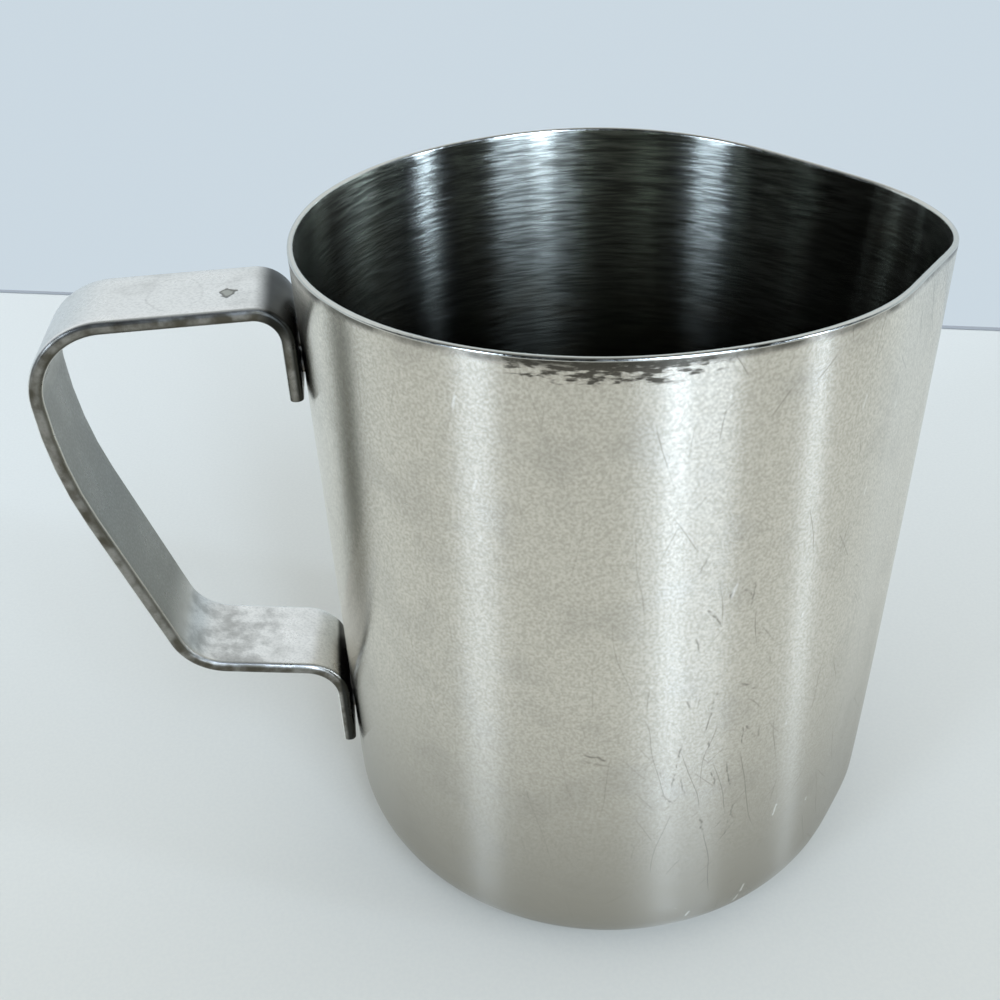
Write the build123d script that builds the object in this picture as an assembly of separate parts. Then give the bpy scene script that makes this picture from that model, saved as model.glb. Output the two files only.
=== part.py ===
from build123d import *
import os
from math import acos, cos, sin

# Milk frothing pitcher: a one-piece drawn steel body with a flared spout, and a bent strap
# handle spot-welded to its back. Millimetres, +Z up. The origin is on the body's axis in the
# plane it stands on. +X points to the spout and -X to the handle.

# ---- Driving dimensions: body ----
RIM_HEIGHT = 106.5       # round part of the rim above the base
RIM_RADIUS = 44.0        # outside of the wall at the rim
FOOT_RADIUS = 43.2       # outside of the wall just above the base rounding
BASE_ROUNDING = 12.0     # outside radius between the wall and the flat base
WALL = 0.9               # sheet thickness
LIP_ROUNDING = 0.35      # both edges of the plain lip

# ---- Driving dimensions: spout ----
SPOUT_REACH = 50.5       # from the axis to the outside of the spout's tip
SPOUT_NOSE = 23.0        # outside radius of the spout's nose at the rim
SPOUT_DROP = 3.7         # tip of the spout below the round part of the rim
SPOUT_FLARE = 0.4        # how early the spout grows: 1 is a straight flare from the base

# ---- Driving dimensions: handle ----
STRAP_WIDTH = 16.0
STRAP_THICKNESS = 2.0
STRAP_EDGE = 0.8         # rounding of the strap's long edges
WELD_GAP = 0.1           # clearance between a flange and the wall at their nearest line
TOP_RUN_HEIGHT = 99.7    # centreline of the level run under the rim
BACK_X = -80.0           # centreline of the upright stretch at the back
BACK_LOW_END = 79.0      # where the upright stretch turns into the diagonal
ELBOW = (-67.6, 40.5)    # corner between the diagonal and the lower run, x and z
LOWER_RUN_HEIGHT = 36.2  # where the lower run meets the lower flange
UPPER_FLANGE_END = 86.1  # cut end of the upper flange
LOWER_FLANGE_END = 20.8  # cut end of the lower flange
BEND_RADII = [4.6, 10.5, 64.0, 9.0, 6.5]  # centreline, from the upper flange to the lower

# ---- Driving dimensions: spot welds ----
WELD_RADIUS = 1.6
UPPER_WELD_HEIGHTS = [88.6, 92.8]
LOWER_WELD_HEIGHTS = [23.5, 28.1]

# ---- Worked out ----
SPOUT_BULGE = SPOUT_REACH - RIM_RADIUS
# Angle from +X where the round wall ends and a flat runs, tangent, to the spout's nose.
BLEND = acos((RIM_RADIUS - SPOUT_NOSE) / (SPOUT_REACH - SPOUT_NOSE))
# Side view of the rim: an arc, level on the axis, that passes through the spout's tip.
RIM_ARC_RADIUS = (SPOUT_REACH**2 + SPOUT_DROP**2) / (2 * SPOUT_DROP)
SECTION_HEIGHTS = [BASE_ROUNDING, 25.0, 45.0, 70.0, 95.0]
TRIM_MARGIN = 4.0        # height of the drawn shell above its trimmed rim
TRIM_BOX = 200.0         # the trimming form reaches well past the body
MOSTLY_UPWARD = 0.9      # height of a unit normal on a face that looks up
CROSSING_EDGE = 2 * WALL  # an edge across the lip is shorter than this


def wall_radius(height):
    """Outside radius of the round wall, which tapers slightly towards the base."""
    taper = (RIM_RADIUS - FOOT_RADIUS) / (RIM_HEIGHT - BASE_ROUNDING)
    return FOOT_RADIUS + taper * (height - BASE_ROUNDING)


def spout_bulge(height):
    """How far the spout stands out of the round wall."""
    return SPOUT_BULGE * (max(height, BASE_ROUNDING) / RIM_HEIGHT) ** SPOUT_FLARE


def section(height, inset):
    """Outline of the wall, moved inwards by inset: round wall, nose and two tangent flats."""
    nose_x = spout_bulge(height) / (1 - cos(BLEND))
    nose_radius = wall_radius(height) - nose_x * cos(BLEND) - inset
    radius = wall_radius(height) - inset
    wall_end = (radius * cos(BLEND), radius * sin(BLEND))
    nose_end = (nose_x + nose_radius * cos(BLEND), nose_radius * sin(BLEND))
    wall_start = (wall_end[0], -wall_end[1])
    nose_start = (nose_end[0], -nose_end[1])
    outline = [
        ThreePointArc(wall_end, (-radius, 0), wall_start),
        Line(wall_start, nose_start),
        ThreePointArc(nose_start, (nose_x + nose_radius, 0), nose_end),
        Line(nose_end, wall_end),
    ]
    return Pos(0, 0, height) * make_face(outline)


def drawn_form(bottom, inset):
    """Solid of the wall's shape, inset from the outside, from its flat bottom up past the rim."""
    heights = [bottom] + SECTION_HEIGHTS + [RIM_HEIGHT + TRIM_MARGIN]
    form = loft([section(height, inset) for height in heights])
    base_edges = form.faces().sort_by(Axis.Z)[0].edges()
    return fillet(base_edges, BASE_ROUNDING - inset)


def above_rim():
    """Everything above the rim: level behind the axis, falling along an arc to the spout."""
    half = TRIM_BOX / 2
    arc_end = RIM_HEIGHT - RIM_ARC_RADIUS + (RIM_ARC_RADIUS**2 - half**2) ** 0.5
    arc_middle = RIM_HEIGHT - RIM_ARC_RADIUS + (RIM_ARC_RADIUS**2 - (half / 2) ** 2) ** 0.5
    outline = [
        Line((-half, RIM_HEIGHT), (0, RIM_HEIGHT)),
        ThreePointArc((0, RIM_HEIGHT), (half / 2, arc_middle), (half, arc_end)),
        Line((half, arc_end), (half, TRIM_BOX)),
        Line((half, TRIM_BOX), (-half, TRIM_BOX)),
        Line((-half, TRIM_BOX), (-half, RIM_HEIGHT)),
    ]
    return extrude(Plane.XZ * make_face(outline), half, both=True)


def lip_edges(shell):
    """Inner and outer edges of the lip, without the short edges that cross it."""
    lip_floor = RIM_HEIGHT - SPOUT_DROP
    upward = [face for face in shell.faces() if face.normal_at().Z > MOSTLY_UPWARD]
    edges = [edge for face in upward for edge in face.edges() if face.center().Z > lip_floor]
    return [edge for edge in edges if edge.length > CROSSING_EDGE]


def make_body():
    """Thin shell of even thickness with a plain, slightly rounded lip."""
    shell = drawn_form(0, 0) - drawn_form(WALL, WALL) - above_rim()
    return fillet(lip_edges(shell), LIP_ROUNDING)


def flange_x(height):
    """Centreline of a flange that lies against the wall at this height."""
    return -(wall_radius(height) + WELD_GAP + STRAP_THICKNESS / 2)


def make_strap():
    """Flat strap, bent in the XZ plane, with a flange at each end."""
    upper_x = flange_x(TOP_RUN_HEIGHT)
    lower_x = flange_x(LOWER_RUN_HEIGHT)
    corners = [
        (upper_x, UPPER_FLANGE_END),
        (upper_x, TOP_RUN_HEIGHT),
        (BACK_X, TOP_RUN_HEIGHT),
        (BACK_X, BACK_LOW_END),
        ELBOW,
        (lower_x, LOWER_RUN_HEIGHT),
        (lower_x, LOWER_FLANGE_END),
    ]
    centreline = Plane.XZ * FilletPolyline(corners, radius=BEND_RADII)
    start = Plane(origin=centreline @ 0, x_dir=(0, 1, 0), z_dir=centreline % 0)
    profile = start * RectangleRounded(STRAP_WIDTH, STRAP_THICKNESS, STRAP_EDGE)
    return sweep(profile, centreline)


def weld_slugs(heights, flange_height):
    """Round slugs from the middle of a flange's thickness to just inside the wall."""
    start_x = flange_x(flange_height)
    depth = STRAP_THICKNESS / 2 + WELD_GAP + WALL / 2
    from_back = (Align.CENTER, Align.CENTER, Align.MIN)
    slug = Rot(0, 90, 0) * Cylinder(WELD_RADIUS, depth, align=from_back)
    return Compound([Pos(start_x, 0, height) * slug for height in heights])


body = make_body()
upper_slugs = weld_slugs(UPPER_WELD_HEIGHTS, TOP_RUN_HEIGHT)
lower_slugs = weld_slugs(LOWER_WELD_HEIGHTS, LOWER_RUN_HEIGHT)

nodes = {
    "pitcher_body": body,
    "strap_handle": make_strap() - upper_slugs - lower_slugs,
    "upper_spot_welds": upper_slugs - body,
    "lower_spot_welds": lower_slugs - body,
}

os.makedirs("parts", exist_ok=True)
for name, shape in nodes.items():
    export_step(shape, f"parts/{name}.step")
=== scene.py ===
import math

import bpy
from mathutils import Matrix, Vector


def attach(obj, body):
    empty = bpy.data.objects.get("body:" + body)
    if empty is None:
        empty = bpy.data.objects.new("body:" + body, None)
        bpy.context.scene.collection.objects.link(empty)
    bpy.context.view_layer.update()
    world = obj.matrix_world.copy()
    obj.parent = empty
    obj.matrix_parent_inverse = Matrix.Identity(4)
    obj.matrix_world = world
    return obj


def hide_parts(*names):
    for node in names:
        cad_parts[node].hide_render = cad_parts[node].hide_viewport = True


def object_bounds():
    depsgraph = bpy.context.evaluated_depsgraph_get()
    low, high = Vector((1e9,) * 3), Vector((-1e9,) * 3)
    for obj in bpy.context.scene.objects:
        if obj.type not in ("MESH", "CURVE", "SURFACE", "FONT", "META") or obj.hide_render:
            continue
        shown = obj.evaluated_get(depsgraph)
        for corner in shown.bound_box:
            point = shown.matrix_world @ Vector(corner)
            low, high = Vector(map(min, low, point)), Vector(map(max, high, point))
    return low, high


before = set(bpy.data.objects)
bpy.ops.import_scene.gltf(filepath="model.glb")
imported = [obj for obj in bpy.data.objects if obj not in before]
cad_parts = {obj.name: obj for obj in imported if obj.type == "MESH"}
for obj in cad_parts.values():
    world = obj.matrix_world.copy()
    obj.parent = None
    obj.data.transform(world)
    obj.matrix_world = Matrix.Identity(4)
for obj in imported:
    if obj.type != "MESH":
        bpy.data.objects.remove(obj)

cad_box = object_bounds()

# Milk frothing pitcher in satin stainless steel. Metres; the origin is on the body's axis in
# the plane it stands on, +X points to the spout and -X to the handle.
MM = 0.001

# ---- Body: the CAD model's dimensions, apart from the two marked ----
RIM_HEIGHT = 106.5 * MM
RIM_RADIUS = 44.0 * MM
FOOT_RADIUS = 43.2 * MM
BASE_ROUNDING = 12.0 * MM
WALL = 0.9 * MM
LIP_ROUNDING = 0.4 * MM      # 0.05 mm more than in the CAD model
SPOUT_REACH = 50.4 * MM      # 0.1 mm less than in the CAD model, to stay inside its box
SPOUT_NOSE = 23.0 * MM
SPOUT_DROP = 3.7 * MM
SPOUT_FLARE = 0.4

# ---- Handle, as in the CAD model ----
STRAP_WIDTH = 16.0 * MM
STRAP_THICKNESS = 2.0 * MM
STRAP_EDGE = 0.8 * MM
WELD_GAP = 0.1 * MM
TOP_RUN_HEIGHT = 99.7 * MM
BACK_X = -80.0 * MM
BACK_LOW_END = 79.0 * MM
ELBOW = (-67.6 * MM, 40.5 * MM)
LOWER_RUN_HEIGHT = 36.2 * MM
UPPER_FLANGE_END = 86.1 * MM
LOWER_FLANGE_END = 20.8 * MM
BEND_RADII = [4.6 * MM, 10.5 * MM, 64.0 * MM, 9.0 * MM, 6.5 * MM]

BLEND = math.acos((RIM_RADIUS - SPOUT_NOSE) / (SPOUT_REACH - SPOUT_NOSE))
RIM_ARC_RADIUS = (SPOUT_REACH**2 + SPOUT_DROP**2) / (2 * SPOUT_DROP)

# ---- Mesh of the body ----
OUTSIDE, INSIDE, LIP = range(3)      # faces of the sheet, and their material slots
BASE_RINGS = [0.12, 0.35, 0.6, 0.8, 0.93, 1.0]      # shares of the flat base's radius
ROUNDING_STEPS = 14
WALL_STEPS = 72
LIP_STEPS = 5
AROUND = 360

# ---- Mesh of the handle ----
EDGE_STEPS = 7
FACE_STEPS = 10
END_ROUNDING = 0.25 * MM
END_STEPS = 3

# ---- UV map ----
UV_PER_METRE = 10
CENTRE_UV_STEP = 0.05        # from the inside's last ring to the centre of its base


# ---- Shape of the body ----

def wall_radius(height):
    """Outside radius of the round wall, which tapers slightly towards the base."""
    taper = (RIM_RADIUS - FOOT_RADIUS) / (RIM_HEIGHT - BASE_ROUNDING)
    return FOOT_RADIUS + taper * (height - BASE_ROUNDING)


def outline(angle, height, inset):
    """Distance from the axis to the wall: round wall, tangent flat or spout nose."""
    angle = abs(math.remainder(angle, 2 * math.pi))
    bulge = (SPOUT_REACH - RIM_RADIUS) * (max(height, BASE_ROUNDING) / RIM_HEIGHT) ** SPOUT_FLARE
    nose_x = bulge / (1 - math.cos(BLEND))
    nose = wall_radius(height) - nose_x * math.cos(BLEND) - inset
    radius = wall_radius(height) - inset
    nose_end = math.atan2(nose * math.sin(BLEND), nose_x + nose * math.cos(BLEND))
    if angle >= BLEND:
        return radius
    if angle >= nose_end:
        return radius / math.cos(BLEND - angle)
    return nose_x * math.cos(angle) + math.sqrt(nose**2 - (nose_x * math.sin(angle)) ** 2)


def soft_outline(angle, height, inset, spread=math.radians(4)):
    """The outline with its curvature evened out, as drawing the sheet leaves it."""
    weights = [1, 4, 6, 4, 1]
    steps = [spread * step for step in (-1, -0.5, 0, 0.5, 1)]
    total = sum(w * outline(angle + s, height, inset) for w, s in zip(weights, steps))
    return total / sum(weights)


def rim_height(x):
    """Height of the rim: level behind the axis, falling along an arc to the spout's tip."""
    if x <= 0:
        return RIM_HEIGHT
    return RIM_HEIGHT - RIM_ARC_RADIUS + math.sqrt(RIM_ARC_RADIUS**2 - x**2)


def meridian(angle):
    """Section of the shell at one angle, as (radius, height, face), and the rim's height there."""
    top = rim_height(soft_outline(angle, RIM_HEIGHT, WALL / 2) * math.cos(angle))
    points = wall_section(angle, top, 0.0, BASE_ROUNDING, 0.0, OUTSIDE)
    for step in range(2 * LIP_STEPS + 2):
        outer_half = step <= LIP_STEPS
        share = step if outer_half else 2 * LIP_STEPS + 1 - step
        turn = math.pi / 2 * share / LIP_STEPS
        depth = LIP_ROUNDING * (1 - math.cos(turn))
        radius = soft_outline(angle, top, depth if outer_half else WALL - depth)
        points.append((radius, top - LIP_ROUNDING * (1 - math.sin(turn)), LIP))
    inside = wall_section(angle, top, WALL, BASE_ROUNDING - WALL, WALL, INSIDE)
    return points + inside[::-1], top


def wall_section(angle, top, inset, rounding, floor, face):
    """One side of the sheet, from near the axis over the base and up to just under the lip."""
    points = []
    flat = soft_outline(angle, BASE_ROUNDING, inset) - rounding
    for share in BASE_RINGS:
        points.append((flat * share, floor, face))
    for step in range(1, ROUNDING_STEPS + 1):
        turn = math.pi / 2 * step / ROUNDING_STEPS
        height = floor + rounding * (1 - math.cos(turn))
        points.append((flat + rounding * math.sin(turn), height, face))
    wall_top = top - LIP_ROUNDING
    for step in range(1, WALL_STEPS):
        height = BASE_ROUNDING + (wall_top - BASE_ROUNDING) * step / WALL_STEPS
        points.append((soft_outline(angle, height, inset), height, face))
    return points


def finish_mesh(name, vertices, faces, corner_uvs, attributes):
    """A smooth-shaded mesh object with one UV map and a float attribute per vertex for each name."""
    mesh = bpy.data.meshes.new(name)
    mesh.from_pydata(vertices, [], faces)
    uv_map = mesh.uv_layers.new(name="grain")
    for loop, uv in zip(uv_map.data, corner_uvs):
        loop.uv = uv
    for key, values in attributes.items():
        mesh.attributes.new(key, "FLOAT", "POINT").data.foreach_set("value", values)
    mesh.shade_smooth()
    mesh.update()
    piece = bpy.data.objects.new(name, mesh)
    bpy.context.collection.objects.link(piece)
    return piece


def make_body():
    """Shell of the pitcher: outside, rounded lip, inside and both faces of the base."""
    vertices = []
    below_lip = []
    lengths = []
    for column in range(AROUND):
        angle = 2 * math.pi * column / AROUND
        section, top = meridian(angle)
        length = 0.0
        last = (0.0, 0.0)
        column_lengths = []
        for radius, height, _ in section:
            length += math.dist(last, (radius, height))
            last = (radius, height)
            column_lengths.append(length)
            vertices.append((radius * math.cos(angle), radius * math.sin(angle), height))
            below_lip.append((top - height) / MM)
        lengths.append(column_lengths)
    rows = len(section)
    faces = []
    face_slots = []
    corner_uvs = []

    def uv(column, row):
        return (lengths[column % AROUND][row] * UV_PER_METRE, column / AROUND)

    for column in range(AROUND):
        following = (column + 1) % AROUND
        for row in range(rows - 1):
            faces.append((
                column * rows + row,
                following * rows + row,
                following * rows + row + 1,
                column * rows + row + 1,
            ))
            face_slots.append(min(section[row][2], section[row + 1][2]))
            corners = [(column, row), (column + 1, row), (column + 1, row + 1), (column, row + 1)]
            corner_uvs.extend(uv(*corner) for corner in corners)
    for row, height, side in ((0, 0.0, OUTSIDE), (rows - 1, WALL, INSIDE)):
        centre = len(vertices)
        vertices.append((0.0, 0.0, height))
        below_lip.append((RIM_HEIGHT - height) / MM)
        for column in range(AROUND):
            following = (column + 1) % AROUND
            ends = [(column, column), (following, column + 1)]
            if row:
                ends.reverse()
            (first, first_uv), (second, second_uv) = ends
            faces.append((centre, second * rows + row, first * rows + row))
            face_slots.append(side)
            middle = 0.0
            if row:
                middle = lengths[column][row] * UV_PER_METRE + CENTRE_UV_STEP
            corner_uvs.append((middle, (column + 0.5) / AROUND))
            corner_uvs.extend([uv(second_uv, row), uv(first_uv, row)])
    shell = finish_mesh("body_shell", vertices, faces, corner_uvs, {"below_lip": below_lip})
    for make_material in (outer_steel, inner_steel, lip_steel):
        shell.data.materials.append(make_material())
    shell.data.polygons.foreach_set("material_index", face_slots)
    return shell


# ---- Shape of the handle ----

def flange_x(height):
    """Centreline of a flange that lies against the wall at this height."""
    return -(wall_radius(height) + WELD_GAP + STRAP_THICKNESS / 2)


def strap_corners():
    """Corners of the strap's centreline before it is bent, in x and z."""
    upper_x = flange_x(TOP_RUN_HEIGHT)
    lower_x = flange_x(LOWER_RUN_HEIGHT)
    return [
        Vector((upper_x, UPPER_FLANGE_END)),
        Vector((upper_x, TOP_RUN_HEIGHT)),
        Vector((BACK_X, TOP_RUN_HEIGHT)),
        Vector((BACK_X, BACK_LOW_END)),
        Vector(ELBOW),
        Vector((lower_x, LOWER_RUN_HEIGHT)),
        Vector((lower_x, LOWER_FLANGE_END)),
    ]


def strap_path(run_step=1.5 * MM, bend_step=math.radians(4)):
    """Points and directions along the strap's centreline, in x and z."""
    corners = strap_corners()
    samples = []
    start = corners[0]
    for corner, following, radius in zip(corners[1:-1], corners[2:], BEND_RADII):
        heading = (corner - start).normalized()
        leaving = (following - corner).normalized()
        turn = math.atan2(heading.x * leaving.y - heading.y * leaving.x, heading.dot(leaving))
        reach = radius * math.tan(abs(turn) / 2)
        bend_start = corner - heading * reach
        samples += run_samples(start, bend_start, heading, run_step)
        side = math.copysign(1, turn)
        centre = bend_start + Vector((-heading.y, heading.x)) * radius * side
        count = max(4, round(abs(turn) / bend_step))
        for step in range(count):
            spin = Matrix.Rotation(turn * step / count, 2)
            samples.append((centre + spin @ (bend_start - centre), spin @ heading))
        start = corner + leaving * reach
    heading = (corners[-1] - start).normalized()
    samples += run_samples(start, corners[-1], heading, run_step)
    samples.append((corners[-1], heading))
    return samples


def run_samples(start, end, heading, step):
    """Points along a straight run, without its end."""
    count = max(1, round((end - start).length / step))
    return [(start.lerp(end, index / count), heading) for index in range(count)]


def strap_profile():
    """Rounded section of the strap, as (across, out of the face), anticlockwise."""
    half_width = STRAP_WIDTH / 2 - STRAP_EDGE
    half_depth = STRAP_THICKNESS / 2 - STRAP_EDGE
    corners = [(1, 1, 0), (-1, 1, 90), (-1, -1, 180), (1, -1, 270)]
    points = []
    for x_side, y_side, start in corners:
        for step in range(EDGE_STEPS + 1):
            turn = math.radians(start + 90 * step / EDGE_STEPS)
            across = x_side * half_width + STRAP_EDGE * math.cos(turn)
            points.append((across, y_side * half_depth + STRAP_EDGE * math.sin(turn)))
        if y_side == x_side:
            span = [-x_side * half_width * (2 * step / FACE_STEPS - 1) for step in range(1, FACE_STEPS)]
            depth = y_side * STRAP_THICKNESS / 2
            points.extend((across, depth) for across in span)
    return points


def make_handle():
    """Bent strap with rounded long edges and slightly eased cut ends."""
    profile = strap_profile()
    stations = [(point, heading, 0.0) for point, heading in strap_path()]
    eased = []
    for step in range(1, END_STEPS + 1):
        turn = math.pi / 2 * step / END_STEPS
        eased.append((END_ROUNDING * (1 - math.sin(turn)), END_ROUNDING * (1 - math.cos(turn))))
    first_point, first_heading, _ = stations[0]
    last_point, last_heading, _ = stations[-1]
    stations[0] = (first_point + first_heading * END_ROUNDING, first_heading, 0.0)
    stations[-1] = (last_point - last_heading * END_ROUNDING, last_heading, 0.0)
    for back, inset in eased:
        stations.insert(0, (first_point + first_heading * back, first_heading, inset))
        stations.append((last_point - last_heading * back, last_heading, inset))
    vertices = []
    from_edge = []
    inner_side = []
    faces = []
    corner_uvs = []
    columns = len(profile)
    along = 0.0
    alongs = []
    last = stations[0][0]
    for point, heading, inset in stations:
        along += (point - last).length
        last = point
        alongs.append(along)
        out = Vector((-heading.y, heading.x))
        for across, depth in profile:
            across = math.copysign(abs(across) - inset, across)
            depth = math.copysign(abs(depth) - inset, depth)
            x = point.x + out.x * depth
            z = point.y + out.y * depth
            vertices.append((x, across, z))
            from_edge.append((STRAP_WIDTH / 2 - abs(across)) / MM)
            inner_side.append(0.5 + depth / STRAP_THICKNESS)
    girth = [0.0]
    for first, second in zip(profile, profile[1:] + profile[:1]):
        girth.append(girth[-1] + math.dist(first, second))
    for row in range(len(stations) - 1):
        for column in range(columns):
            following = (column + 1) % columns
            faces.append((
                row * columns + column,
                row * columns + following,
                (row + 1) * columns + following,
                (row + 1) * columns + column,
            ))
            corner_uvs.extend([
                (girth[column] * UV_PER_METRE, alongs[row] * UV_PER_METRE),
                (girth[column + 1] * UV_PER_METRE, alongs[row] * UV_PER_METRE),
                (girth[column + 1] * UV_PER_METRE, alongs[row + 1] * UV_PER_METRE),
                (girth[column] * UV_PER_METRE, alongs[row + 1] * UV_PER_METRE),
            ])
    last_row = (len(stations) - 1) * columns
    faces.append(tuple(range(columns))[::-1])
    faces.append(tuple(range(last_row, last_row + columns)))
    across_uv = [length * UV_PER_METRE for length in girth[:columns]]
    corner_uvs.extend((u, 0.0) for u in reversed(across_uv))
    corner_uvs.extend((u, along * UV_PER_METRE) for u in across_uv)
    attributes = {"from_edge": from_edge, "inner_side": inner_side}
    return finish_mesh("strap", vertices, faces, corner_uvs, attributes)


# ---- Materials ----

class Graph:
    """Adds nodes to one node tree and links them; a value may be a number or a socket."""

    def __init__(self, tree):
        self.tree = tree
        self.tree.nodes.clear()

    def node(self, kind, inputs=None, **settings):
        made = self.tree.nodes.new(kind)
        for key, value in settings.items():
            setattr(made, key, value)
        for key, value in (inputs or {}).items():
            self.plug(made.inputs[key], value)
        return made

    def plug(self, socket, value):
        if isinstance(value, bpy.types.NodeSocket):
            self.tree.links.new(value, socket)
        else:
            socket.default_value = value

    def math(self, operation, *values):
        return self.node("ShaderNodeMath", dict(enumerate(values)), operation=operation).outputs[0]

    def times(self, first, *others):
        for other in others:
            first = self.math("MULTIPLY", first, other)
        return first

    def ramp(self, value, low, high, to_low=0.0, to_high=1.0):
        """Smooth step from to_low at low to to_high at high."""
        inputs = {0: value, 1: low, 2: high, 3: to_low, 4: to_high}
        made = self.node("ShaderNodeMapRange", inputs, interpolation_type="SMOOTHSTEP")
        return made.outputs[0]

    def noise(self, vector, period, detail=2.0, stretch=(1.0, 1.0, 1.0)):
        """Noise from 0 to 1 whose features are about one period across, in metres."""
        scale = tuple(1.0 / (period * s) for s in stretch)
        spread = self.node("ShaderNodeVectorMath", {0: vector, 1: scale}, operation="MULTIPLY")
        inputs = {"Vector": spread.outputs[0], "Scale": 1.0, "Detail": detail}
        return self.node("ShaderNodeTexNoise", inputs).outputs["Fac"]

    def blend(self, share, first, second):
        made = self.node("ShaderNodeMix", {"Factor": share}, data_type="RGBA")
        self.plug(made.inputs[6], first)
        self.plug(made.inputs[7], second)
        return made.outputs[2]

    def region(self, place, centre, radii, softness=0.4):
        """1 inside an ellipsoid, in millimetres, fading to 0 outside it."""
        centre = tuple(value * MM for value in centre)
        radii = tuple(value * MM for value in radii)
        offset = self.node("ShaderNodeVectorMath", {0: place, 1: centre}, operation="SUBTRACT")
        scaled = self.node("ShaderNodeVectorMath", {0: offset.outputs[0], 1: radii}, operation="DIVIDE")
        length = self.node("ShaderNodeVectorMath", {0: scaled.outputs[0]}, operation="LENGTH")
        return self.ramp(length.outputs["Value"], 1 - softness, 1 + softness, 1.0, 0.0)

    def strokes(self, place, length, spacing, width, tilt, share, seed, bend=0.8):
        """1 on thin strokes scattered over the wall, in millimetres and degrees, and 0 elsewhere."""
        x, y, z = self.node("ShaderNodeSeparateXYZ", {0: place}).outputs
        around = self.times(self.math("ARCTAN2", x, self.times(y, -1.0)), RIM_RADIUS)
        slope = math.radians(tilt)
        drift = self.times(self.noise(place, 16 * MM, detail=1.0), bend * MM)
        across = self.math("ADD", self.times(around, math.cos(slope)), self.times(z, math.sin(slope)))
        across = self.times(self.math("ADD", across, drift), 1 / (spacing * MM))
        along = self.math("SUBTRACT", self.times(z, math.cos(slope)), self.times(around, math.sin(slope)))
        column = self.math("FLOOR", across)
        shift = self.node("ShaderNodeTexWhiteNoise", {"W": self.math("ADD", column, seed)},
                          noise_dimensions="1D").outputs["Value"]
        along = self.math("ADD", self.times(along, 1 / (length * MM)), self.times(shift, 7.0))
        cell = self.node("ShaderNodeCombineXYZ", {0: column, 1: self.math("FLOOR", along), 2: seed})
        chance = self.node("ShaderNodeTexWhiteNoise", {"Vector": cell.outputs[0]})
        offset, extent, _ = self.node("ShaderNodeSeparateColor", {0: chance.outputs["Color"]}).outputs
        middle = self.math("ADD", self.times(offset, 0.7), 0.15)
        off = self.math("ABSOLUTE", self.math("SUBTRACT", self.math("FRACT", across), middle))
        line = self.ramp(off, 0.0, width / spacing, 1.0, 0.0)
        end = self.math("ABSOLUTE", self.math("SUBTRACT", self.math("FRACT", along), 0.5))
        taper = self.ramp(self.math("SUBTRACT", self.times(extent, 0.5), end), 0.0, 0.15)
        kept = self.math("LESS_THAN", chance.outputs["Value"], share)
        return self.times(line, taper, kept)

    def ragged(self, place, period, amount):
        """The place moved about by a noise, to make the outline of a mark uneven."""
        scale = (1.0 / period,) * 3
        spread = self.node("ShaderNodeVectorMath", {0: place, 1: scale}, operation="MULTIPLY")
        noise = self.node("ShaderNodeTexNoise", {"Vector": spread.outputs[0], "Scale": 1.0})
        offset = self.node("ShaderNodeVectorMath", {0: noise.outputs["Color"], 1: (0.5, 0.5, 0.5)},
                           operation="SUBTRACT")
        scaled = self.node("ShaderNodeVectorMath", {0: offset.outputs[0], 1: (amount,) * 3},
                           operation="MULTIPLY")
        return self.node("ShaderNodeVectorMath", {0: place, 1: scaled.outputs[0]},
                         operation="ADD").outputs[0]

    def sideways(self, value, amount):
        """The surface's normal, turned about the upright axis by a value from 0 to 1."""
        normal = self.node("ShaderNodeNewGeometry").outputs["Normal"]
        side = self.node("ShaderNodeVectorMath", {0: normal, 1: (0, 0, 1)}, operation="CROSS_PRODUCT")
        lean = self.times(self.math("SUBTRACT", value, 0.5), amount)
        pushed = self.node("ShaderNodeVectorMath", {0: side.outputs[0], "Scale": lean}, operation="SCALE")
        leant = self.node("ShaderNodeVectorMath", {0: normal, 1: pushed.outputs[0]}, operation="ADD")
        return self.node("ShaderNodeVectorMath", {0: leant.outputs[0]}, operation="NORMALIZE").outputs[0]

    def bump(self, height, depth, normal=None):
        inputs = {"Height": height, "Distance": depth, "Strength": 1.0}
        if normal is not None:
            inputs["Normal"] = normal
        return self.node("ShaderNodeBump", inputs).outputs[0]


def steel(name, base_color, anisotropic):
    """A new metal material, its graph, its shader and the object's own coordinates.

    base_color is what shows where no node sets the colour.
    """
    material = bpy.data.materials.new(name)
    material.use_nodes = True
    graph = Graph(material.node_tree)
    output = graph.node("ShaderNodeOutputMaterial")
    shader = graph.node("ShaderNodeBsdfPrincipled")
    graph.plug(output.inputs["Surface"], shader.outputs[0])
    shader.inputs["Metallic"].default_value = 1.0
    shader.inputs["Base Color"].default_value = (*base_color, 1.0)
    shader.inputs["Anisotropic"].default_value = anisotropic
    if anisotropic:
        tangent = graph.node("ShaderNodeTangent", direction_type="UV_MAP", uv_map="grain")
        graph.plug(shader.inputs["Tangent"], tangent.outputs[0])
    place = graph.node("ShaderNodeTexCoord").outputs["Object"]
    return material, graph, shader, place


# Strokes on the outside as (length, spacing, tilt, share of the places that hold one, strength).
FINE_SCRATCHES = [
    (19, 4.6, 12, 0.42, 0.60),
    (14, 3.7, -11, 0.38, 0.55),
    (8, 3.1, 38, 0.22, 0.50),
    (5, 2.7, -44, 0.14, 0.45),
]
DEEP_SCRATCHES = [(11, 3.0, -13, 0.34), (6.5, 2.6, 9, 0.30), (4.0, 2.3, 40, 0.16)]


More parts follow.
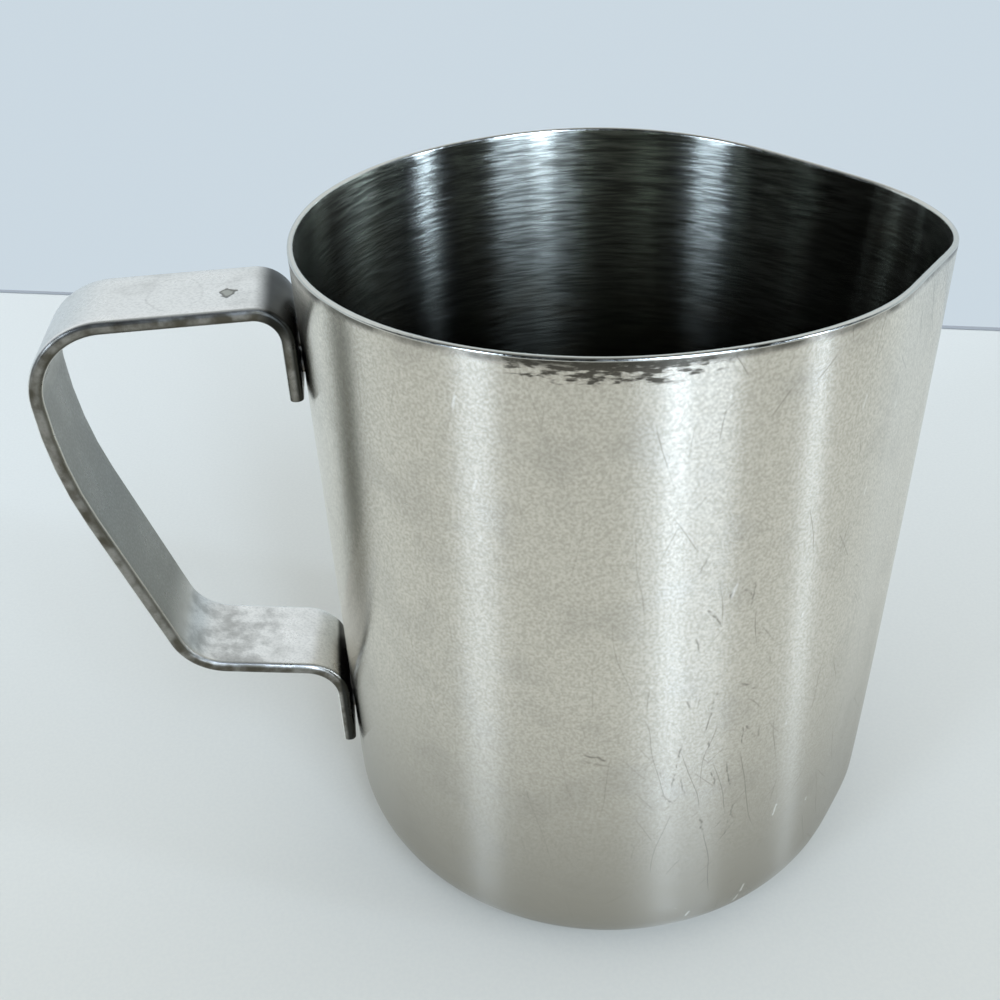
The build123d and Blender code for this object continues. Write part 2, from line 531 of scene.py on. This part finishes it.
# Darker towards the base than bare steel is, which stands for what the steel reflects there.
OUTSIDE_AT_BASE = (0.385, 0.362, 0.315, 1)
OUTSIDE_HIGHER_UP = (0.855, 0.81, 0.715, 1)
GRAIN_COLOR = (0.43, 0.40, 0.335, 1)
SMUDGE_COLOR = (0.45, 0.43, 0.39, 1)
FINE_SCRATCH_COLOR = (0.22, 0.20, 0.165, 1)
DEEP_SCRATCH_COLOR = (0.17, 0.155, 0.125, 1)
# Painted glint on the nicks.
NICK_GLINT_COLOR = (0.97, 0.95, 0.89, 1)
SCUFF_COLOR = (0.055, 0.048, 0.038, 1)
# Painted shade in a thin line just under the lip.
UNDER_LIP_SHADE_COLOR = (0.09, 0.085, 0.07, 1)


def outer_steel():
    """Satin outside: fine grain, scratches, nicks with painted glints, scuffs under the lip and a painted
    shade line just under it.
    """
    material, graph, shader, place = steel("satin_outside", (0.68, 0.66, 0.59), 1.0)
    height = graph.node("ShaderNodeSeparateXYZ", {0: place}).outputs["Z"]
    above_base = graph.ramp(height, 0.0, 62 * MM)
    color = graph.blend(above_base, OUTSIDE_AT_BASE, OUTSIDE_HIGHER_UP)
    grain = graph.noise(place, 0.42 * MM, detail=3.0)
    color = graph.blend(graph.ramp(grain, 0.32, 0.68, 0.0, 0.46), color, GRAIN_COLOR)
    patches = graph.noise(place, 11 * MM, detail=4.0)
    smudges = graph.ramp(patches, 0.52, 0.68)
    color = graph.blend(graph.times(smudges, 0.15), color, SMUDGE_COLOR)

    x = graph.node("ShaderNodeSeparateXYZ", {0: place}).outputs["X"]
    right_side = graph.ramp(x, -14 * MM, 8 * MM, 0.35, 1.0)
    touched = graph.ramp(graph.noise(place, 13 * MM, detail=2.0), 0.36, 0.5, 0.1, 1.0)
    handled = graph.times(touched, right_side)
    for length, spacing, tilt, share, strength in FINE_SCRATCHES:
        line = graph.strokes(place, length, spacing, 0.12, tilt, share, seed=length, bend=5.0)
        color = graph.blend(graph.times(line, handled, strength), color, FINE_SCRATCH_COLOR)
    worn = graph.region(place, (7, -43.5, 52), (8, 14, 31))
    torn = graph.ragged(place, 1.2 * MM, 0.9 * MM)
    deep = 0.0
    for length, spacing, tilt, share in DEEP_SCRATCHES:
        line = graph.strokes(torn, length, spacing, 0.25, tilt, share, seed=length + 2.0, bend=4.0)
        deep = graph.math("MAXIMUM", deep, line)
    broken = graph.ramp(graph.noise(place, 1.1 * MM, detail=3.0), 0.4, 0.56, 0.15, 1.0)
    deep = graph.times(deep, broken, worn)
    rubbed = graph.region(torn, (-8, -43, 46), (3.0, 8, 2.2))
    rub_marks = graph.strokes(torn, 4.0, 1.2, 0.3, 78, 0.7, seed=9.0)
    deep = graph.math("MAXIMUM", deep, graph.times(rub_marks, rubbed))
    color = graph.blend(graph.times(deep, 0.62), color, DEEP_SCRATCH_COLOR)
    # Nicks: small marks in the bump, painted near-white as glints.
    nicks = graph.strokes(graph.ragged(place, 0.7 * MM, 0.4 * MM), 2.6, 2.8, 0.34, -18, 0.014, seed=5.0)
    color = graph.blend(graph.times(nicks, 0.8), color, NICK_GLINT_COLOR)
    below_lip = graph.node("ShaderNodeAttribute", attribute_name="below_lip").outputs["Fac"]
    rub = graph.noise(place, 0.6 * MM, detail=6.0, stretch=(3.0, 3.0, 0.9))
    front = graph.region(place, (-7.5, -44, 106), (9.5, 10, 5.0), softness=0.7)
    near = graph.times(graph.ramp(below_lip, 0.9, 4.2, 1.0, 0.0), front)
    scuffs = graph.ramp(graph.math("ADD", rub, graph.times(near, 0.26)), 0.54, 0.72)
    scuffs = graph.times(scuffs, graph.ramp(near, 0.0, 0.25))
    color = graph.blend(graph.times(scuffs, 0.9), color, SCUFF_COLOR)
    # Painted shade: a thin, uneven dark line just under the lip.
    under = graph.ramp(below_lip, 0.6, 1.6, 1.0, 0.0)
    uneven = graph.ramp(graph.noise(place, 6 * MM, detail=3.0), 0.35, 0.6, 0.3, 0.85)
    color = graph.blend(graph.times(under, uneven), color, UNDER_LIP_SHADE_COLOR)
    graph.plug(shader.inputs["Base Color"], color)

    streaks = graph.noise(place, 0.8 * MM, detail=3.0, stretch=(7.0, 7.0, 0.4))
    rough = graph.ramp(streaks, 0.2, 0.8, 0.23, 0.255)
    rough = graph.math("ADD", rough, graph.times(smudges, 0.02))
    graph.plug(shader.inputs["Roughness"], rough)
    waves = graph.noise(place, 22 * MM, detail=1.0)
    normal = graph.bump(waves, 0.03 * MM)
    normal = graph.bump(grain, 0.001 * MM, normal)
    dents = graph.math("SUBTRACT", nicks, deep)
    normal = graph.bump(dents, 0.01 * MM, normal)
    graph.plug(shader.inputs["Normal"], normal)
    return material


# Darker below the lip than bare steel is, which stands for what the inside reflects.
INSIDE_AT_LIP = (0.92, 0.94, 0.83, 1)
INSIDE_LOWER = (0.055, 0.06, 0.045, 1)
INSIDE_BASE = (0.34, 0.34, 0.31, 1)
# Painted shade in two patches inside, at the spout and on the handle's side.
INSIDE_PAINTED_SHADE = (0.028, 0.031, 0.022, 1)
PAINTED_SHADE_PLACES = [((46, 0, 92), (13, 22, 26)), ((-42, 0, 88), (14, 30, 26))]      # centre, radii
DARK_STREAK = (0.03, 0.032, 0.024, 1)
LIGHT_STREAK = (0.60, 0.63, 0.52, 1)
INSIDE_STAIN = (0.17, 0.13, 0.08, 1)


def inner_steel():
    """Inside, brushed round and round, with a smoother base, and painted shade in two patches."""
    material, graph, shader, place = steel("brushed_inside", (0.55, 0.56, 0.53), 1.0)
    depth = graph.node("ShaderNodeAttribute", attribute_name="below_lip").outputs["Fac"]
    on_wall = graph.ramp(depth, 84.0, 92.0, 1.0, 0.0)
    upper = graph.ramp(depth, -2.0, 48.0)
    color = graph.blend(upper, INSIDE_AT_LIP, INSIDE_LOWER)
    base = graph.ramp(depth, 86.0, 102.0)
    color = graph.blend(base, color, INSIDE_BASE)
    # Painted shade: the inside is darkened nearly to black in these two patches.
    for centre, radii in PAINTED_SHADE_PLACES:
        patch_region = graph.region(place, centre, radii, softness=0.7)
        color = graph.blend(graph.times(patch_region, 0.82), color, INSIDE_PAINTED_SHADE)
    fine = graph.noise(place, 0.34 * MM, detail=2.0, stretch=(15.0, 15.0, 1.0))
    wide = graph.noise(place, 0.9 * MM, detail=4.0, stretch=(16.0, 16.0, 1.0))
    for streaks, low, high, strength in ((fine, 0.40, 0.66, 0.55), (wide, 0.44, 0.70, 0.55)):
        share = graph.times(graph.ramp(streaks, low, high, 0.0, strength), on_wall)
        color = graph.blend(share, color, DARK_STREAK)
    light = graph.times(graph.ramp(fine, 0.28, 0.46, 0.07, 0.0), on_wall)
    color = graph.blend(light, color, LIGHT_STREAK)
    stain = graph.ramp(graph.noise(place, 14 * MM, detail=3.0, stretch=(1.0, 1.0, 0.5)), 0.45, 0.7)
    color = graph.blend(graph.times(stain, 0.2), color, INSIDE_STAIN)
    graph.plug(shader.inputs["Base Color"], color)
    rough = graph.ramp(wide, 0.2, 0.8, 0.21, 0.26)
    graph.plug(shader.inputs["Roughness"], rough)
    sway = graph.noise(place, 0.42 * MM, detail=3.0, stretch=(15.0, 15.0, 1.0))
    graph.plug(shader.inputs["Normal"], graph.sideways(sway, 0.11))
    return material


def lip_steel():
    """Polished lip, slightly worn."""
    material, graph, shader, place = steel("polished_lip", (0.66, 0.65, 0.59), 0.0)
    wear = graph.noise(place, 1.1 * MM, detail=3.0)
    graph.plug(shader.inputs["Roughness"], graph.ramp(wear, 0.3, 0.7, 0.12, 0.25))
    graph.plug(shader.inputs["Normal"], graph.bump(wear, 0.03 * MM))
    return material


STRAP_OUTER_FACE = (0.92, 0.905, 0.86, 1)
# Painted shade on the strap's side that faces the pitcher.
STRAP_INNER_FACE_SHADE = (0.21, 0.21, 0.185, 1)
STRAP_GRAIN = (0.40, 0.40, 0.37, 1)
MOTTLE_COLOR = (0.22, 0.215, 0.195, 1)
BLOTCH_COLOR = (0.32, 0.31, 0.28, 1)
# Painted highlight along the rounded long edges.
RIDGE_HIGHLIGHT_COLOR = (0.92, 0.91, 0.87, 1)
CUT_EDGE_COLOR = (0.085, 0.076, 0.056, 1)
# Painted shade where the flanges lie against the wall.
WALL_SIDE_SHADE_COLOR = (0.04, 0.04, 0.035, 1)
CORNER_SHADE = (0.02, 0.02, 0.017, 1)      # stands for the shadow where the strap meets the wall
RING_CENTRE = (-60, -0.5, 100.7)
RING_COLOR = (0.30, 0.29, 0.27, 1)
CHIP_CENTRE = (-52.8, -1.6, 100.7)
CHIP_RIM = (0.10, 0.095, 0.07, 1)
CHIP_CORE = (0.50, 0.50, 0.44, 1)


def strap_steel():
    """Satin strap with dark edges, a dried ring and a small chip on the top run, a painted highlight
    along its rounded edges, and painted shade on its inner side and where it meets the wall.
    """
    material, graph, shader, place = steel("satin_strap", (0.62, 0.62, 0.60), 0.0)
    x, _, z = graph.node("ShaderNodeSeparateXYZ", {0: place}).outputs
    grain = graph.noise(place, 0.4 * MM, detail=3.0)
    blotches = graph.noise(place, 6 * MM, detail=4.0)
    inner_side = graph.node("ShaderNodeAttribute", attribute_name="inner_side").outputs["Fac"]
    # Painted shade: the strap's inner side, facing the pitcher, is darkened above the elbow.
    upright = graph.ramp(z, 39 * MM, 52 * MM)
    inside = graph.times(graph.ramp(inner_side, 0.55, 0.95), upright)
    color = graph.blend(inside, STRAP_OUTER_FACE, STRAP_INNER_FACE_SHADE)
    color = graph.blend(graph.ramp(grain, 0.35, 0.75, 0.0, 0.3), color, STRAP_GRAIN)
    patch_region = graph.region(place, (-64, 0, 39), (11, 14, 8))
    mottle = graph.times(graph.ramp(graph.noise(place, 3.0 * MM, detail=5.0), 0.38, 0.70), patch_region)
    color = graph.blend(graph.times(mottle, 0.5), color, MOTTLE_COLOR)
    color = graph.blend(graph.ramp(blotches, 0.5, 0.7, 0.0, 0.2), color, BLOTCH_COLOR)
    from_edge = graph.node("ShaderNodeAttribute", attribute_name="from_edge").outputs["Fac"]
    rub = graph.ramp(graph.noise(place, 3.0 * MM, detail=5.0), 0.36, 0.66, 0.72, 0.98)
    # Painted highlight: a near-white line along each rounded long edge.
    ridge_highlight = graph.times(graph.ramp(from_edge, 0.30, 0.45), graph.ramp(from_edge, 0.55, 0.75, 1.0, 0.0))
    color = graph.blend(graph.times(ridge_highlight, 0.8), color, RIDGE_HIGHLIGHT_COLOR)
    cut_edge = graph.ramp(from_edge, 0.14, 0.36, 1.0, 0.0)
    color = graph.blend(graph.times(cut_edge, rub), color, CUT_EDGE_COLOR)
    # Painted shade: the half of each flange that lies against the wall is near black.
    wall_side_shade = graph.ramp(x, -45.1 * MM, -44.5 * MM)
    color = graph.blend(wall_side_shade, color, WALL_SIDE_SHADE_COLOR)
    corner = graph.times(graph.ramp(x, -49.6 * MM, -46.8 * MM), graph.ramp(z, 93 * MM, 98 * MM))
    color = graph.blend(graph.times(corner, 0.97), color, CORNER_SHADE)
    wavy = graph.ragged(place, 5 * MM, 1.6 * MM)
    drop = graph.region(wavy, RING_CENTRE, (3.9, 5.6, 3), softness=0.04)
    dried = graph.region(wavy, RING_CENTRE, (3.6, 5.3, 3), softness=0.06)
    ring = graph.math("SUBTRACT", drop, dried)
    faint = graph.ramp(graph.noise(place, 2.5 * MM, detail=2.0), 0.4, 0.62, 0.03, 0.26)
    color = graph.blend(graph.times(ring, faint), color, RING_COLOR)
    torn = graph.ragged(place, 1.6 * MM, 1.7 * MM)
    chip = graph.region(torn, CHIP_CENTRE, (1.3, 1.6, 2), softness=0.08)
    chip_core = graph.region(torn, CHIP_CENTRE, (0.9, 1.1, 2), softness=0.12)
    color = graph.blend(graph.times(chip, 0.85), color, CHIP_RIM)
    color = graph.blend(graph.times(chip_core, 0.7), color, CHIP_CORE)
    graph.plug(shader.inputs["Base Color"], color)
    graph.plug(shader.inputs["Roughness"], graph.ramp(blotches, 0.3, 0.7, 0.26, 0.36))
    normal = graph.bump(grain, 0.003 * MM)
    normal = graph.bump(blotches, 0.02 * MM, normal)
    normal = graph.bump(graph.times(chip, -1.0), 0.05 * MM, normal)
    graph.plug(shader.inputs["Normal"], normal)
    return material


def weld_steel():
    """Dull, slightly rough steel of the spot welds."""
    material, graph, shader, place = steel("weld_nugget", (0.42, 0.38, 0.33), 0.0)
    grain = graph.noise(place, 0.3 * MM, detail=3.0)
    graph.plug(shader.inputs["Roughness"], graph.ramp(grain, 0.3, 0.7, 0.4, 0.6))
    graph.plug(shader.inputs["Normal"], graph.bump(grain, 0.03 * MM))
    return material


body = make_body()
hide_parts("pitcher_body")
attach(body, "root")

handle = make_handle()
handle.data.materials.append(strap_steel())
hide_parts("strap_handle")
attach(handle, "root")

welds = weld_steel()
for name in ("upper_spot_welds", "lower_spot_welds"):
    for material_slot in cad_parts[name].material_slots:
        material_slot.material = welds


# ---- Floor ----
BACK_EDGE = 0.2107           # where the floor ends behind the pitcher, on the axis
BACK_EDGE_TURN = math.radians(-17.3)
FLOOR_REACH = 2.0
SEAM_WIDTH = 2.2 * MM
# The near colour holds a painted shadow.
TABLE_NEAR_SHADOWED = (0.66, 0.637, 0.562, 1)
TABLE_FAR = (0.735, 0.745, 0.70, 1)
SPECKLE_COLOR = (0.45, 0.46, 0.46, 1)
# Painted shade in the gap at the table's back edge.
SEAM_SHADE_COLOR = (0.36, 0.38, 0.40, 1)


def back_edge_sheet(name, depth, height, material_name):
    """A level sheet along the table's back edge, and its new material."""
    turn = Matrix.Rotation(BACK_EDGE_TURN, 3, "Z")
    corners = [(-FLOOR_REACH, 0), (FLOOR_REACH, 0), (FLOOR_REACH, -depth), (-FLOOR_REACH, -depth)]
    places = [turn @ Vector((x, y, height)) + Vector((0, BACK_EDGE, 0)) for x, y in corners]
    mesh = bpy.data.meshes.new(name)
    mesh.from_pydata(places, [], [(3, 2, 1, 0)])
    sheet = bpy.data.objects.new(name, mesh)
    bpy.context.collection.objects.link(sheet)
    material = bpy.data.materials.new(material_name)
    material.use_nodes = True
    mesh.materials.append(material)
    return sheet, material


def make_floor():
    """Pale table top whose back edge is turned a little to the pitcher's plane."""
    floor, material = back_edge_sheet("floor", FLOOR_REACH, 0, "table_top")
    graph = Graph(material.node_tree)
    place = graph.node("ShaderNodeTexCoord").outputs["Object"]
    y = graph.node("ShaderNodeSeparateXYZ", {0: place}).outputs["Y"]
    # Painted shadow: the table is darker and yellower towards the front.
    away = graph.ramp(y, -0.12, 0.16)
    color = graph.blend(away, TABLE_NEAR_SHADOWED, TABLE_FAR)
    speckle = graph.ramp(graph.noise(place, 0.7 * MM, detail=2.0), 0.35, 0.65, 0.0, 0.06)
    color = graph.blend(speckle, color, SPECKLE_COLOR)
    inputs = {"Base Color": color, "Roughness": 0.6, "Specular IOR Level": 0.08}
    shader = graph.node("ShaderNodeBsdfPrincipled", inputs)
    output = graph.node("ShaderNodeOutputMaterial")
    graph.plug(output.inputs["Surface"], shader.outputs[0])


def make_seam():
    """Narrow dark sheet along the table's back edge: painted shade in the gap between the table and the
    wall behind it.
    """
    seam, material = back_edge_sheet("table_seam_shade", SEAM_WIDTH, SEAM_WIDTH / 10, "shadow_gap")
    shader = material.node_tree.nodes["Principled BSDF"]
    shader.inputs["Base Color"].default_value = SEAM_SHADE_COLOR
    shader.inputs["Roughness"].default_value = 0.8


make_floor()
make_seam()


# ---- Light ----
# Soft windows in front of the pitcher and beside it, in degrees, as
# (azimuth, half width, low, high, softness, strength).
# Azimuth 0 is in front of the pitcher, towards -Y, and 90 is towards the spout.
WINDOWS = [
    (-55, 6.0, 8, 30, 1.6, 11.5),
    (4, 4, 0, 40, 2, 2.0),
    (14, 4.5, 0, 52, 1.5, 10.5),
    (27, 6.5, 0, 52, 2, 5.6),
    (65, 2.4, 4, 26, 1.2, 20.0),
]
WINDOW_COLOR = (0.80, 0.96, 1.20)
WALL_COLOR = (0.60, 0.69, 0.76)
ROOM_COLOR = (0.012, 0.013, 0.010)
CEILING_COLOR = (0.30, 0.32, 0.32)
BACK_GLOW = (0.82, 0.88, 0.93)
FILL_COLOR = (0.745, 0.775, 0.80)      # what diffuse rays see


def make_world():
    """Plain wall for the camera, the windows for reflections and an even fill for diffuse rays."""
    world = bpy.data.worlds.new("studio")
    bpy.context.scene.world = world
    world.use_nodes = True
    graph = Graph(world.node_tree)
    direction = graph.node("ShaderNodeTexCoord").outputs["Generated"]
    x, y, z = graph.node("ShaderNodeSeparateXYZ", {0: direction}).outputs
    to_degrees = math.degrees(1)
    azimuth = graph.math("ARCTAN2", x, graph.math("MULTIPLY", y, -1.0))
    azimuth = graph.math("MULTIPLY", azimuth, to_degrees)
    elevation = graph.math("MULTIPLY", graph.math("ARCSINE", z), to_degrees)
    behind = graph.ramp(y, -0.1, 0.25)
    back_height = graph.ramp(elevation, 8.0, 28.0)
    back = graph.blend(back_height, (*WALL_COLOR, 1), (*BACK_GLOW, 1))
    color = graph.blend(behind, (*ROOM_COLOR, 1), back)
    high_up = graph.ramp(elevation, 44.0, 64.0)
    overhead = graph.math("MULTIPLY", high_up, graph.ramp(y, -0.3, 0.2, 0.12, 1.0))
    color = graph.blend(overhead, color, (*CEILING_COLOR, 1))
    for centre, half_width, low, high, softness, strength in WINDOWS:
        off = graph.math("ABSOLUTE", graph.math("SUBTRACT", azimuth, float(centre)))
        across = graph.ramp(off, float(half_width - softness), float(half_width + softness), 1.0, 0.0)
        above = graph.ramp(elevation, float(low - softness), float(low + softness))
        below = graph.ramp(elevation, float(high - 2 * softness), float(high + 2 * softness), 1.0, 0.0)
        share = graph.math("MULTIPLY", across, graph.math("MULTIPLY", above, below))
        glow = tuple(c * strength for c in WINDOW_COLOR)
        color = graph.blend(share, color, (*glow, 1))
    seen = graph.node("ShaderNodeBackground", {"Color": (*WALL_COLOR, 1), "Strength": 1.0})
    lit = graph.node("ShaderNodeBackground", {"Color": color, "Strength": 1.0})
    camera_ray = graph.node("ShaderNodeLightPath").outputs["Is Camera Ray"]
    fill = graph.node("ShaderNodeBackground", {"Color": (*FILL_COLOR, 1), "Strength": 1.0})
    diffuse_ray = graph.node("ShaderNodeLightPath").outputs["Is Diffuse Ray"]
    filled = graph.node("ShaderNodeMixShader", {0: diffuse_ray, 1: lit.outputs[0], 2: fill.outputs[0]})
    mixed = graph.node("ShaderNodeMixShader", {0: camera_ray, 1: filled.outputs[0], 2: seen.outputs[0]})
    output = graph.node("ShaderNodeOutputWorld")
    graph.plug(output.inputs["Surface"], mixed.outputs[0])


make_world()


# ---- Camera ----
CAMERA_AZIMUTH = math.radians(-5.83)
CAMERA_ELEVATION = math.radians(33.19)
CAMERA_ROLL = math.radians(-2.62)
CAMERA_DISTANCE = 191.2 * MM
AIM_FROM_CENTRE = Vector((-0.9, 0.0, 7.9)) * MM
LENS = 43.2


def make_camera():
    """Camera at the height and side the pitcher is looked at from, with a small roll."""
    low, high = cad_box
    aim = (low + high) / 2 + AIM_FROM_CENTRE
    level = math.cos(CAMERA_ELEVATION)
    back = Vector((
        math.sin(CAMERA_AZIMUTH) * level,
        -math.cos(CAMERA_AZIMUTH) * level,
        math.sin(CAMERA_ELEVATION),
    ))
    right = Vector((math.cos(CAMERA_AZIMUTH), math.sin(CAMERA_AZIMUTH), 0))
    up = back.cross(right)
    rolled_right = right * math.cos(CAMERA_ROLL) + up * math.sin(CAMERA_ROLL)
    rolled_up = up * math.cos(CAMERA_ROLL) - right * math.sin(CAMERA_ROLL)
    data = bpy.data.cameras.new("camera")
    data.lens = LENS
    data.sensor_width = 36
    data.clip_start = 0.01
    camera = bpy.data.objects.new("camera", data)
    place = Matrix((rolled_right, rolled_up, back)).transposed().to_4x4()
    place.translation = aim + back * CAMERA_DISTANCE
    camera.matrix_world = place
    bpy.context.collection.objects.link(camera)
    bpy.context.scene.camera = camera


make_camera()
bpy.context.scene.view_settings.view_transform = "Standard"
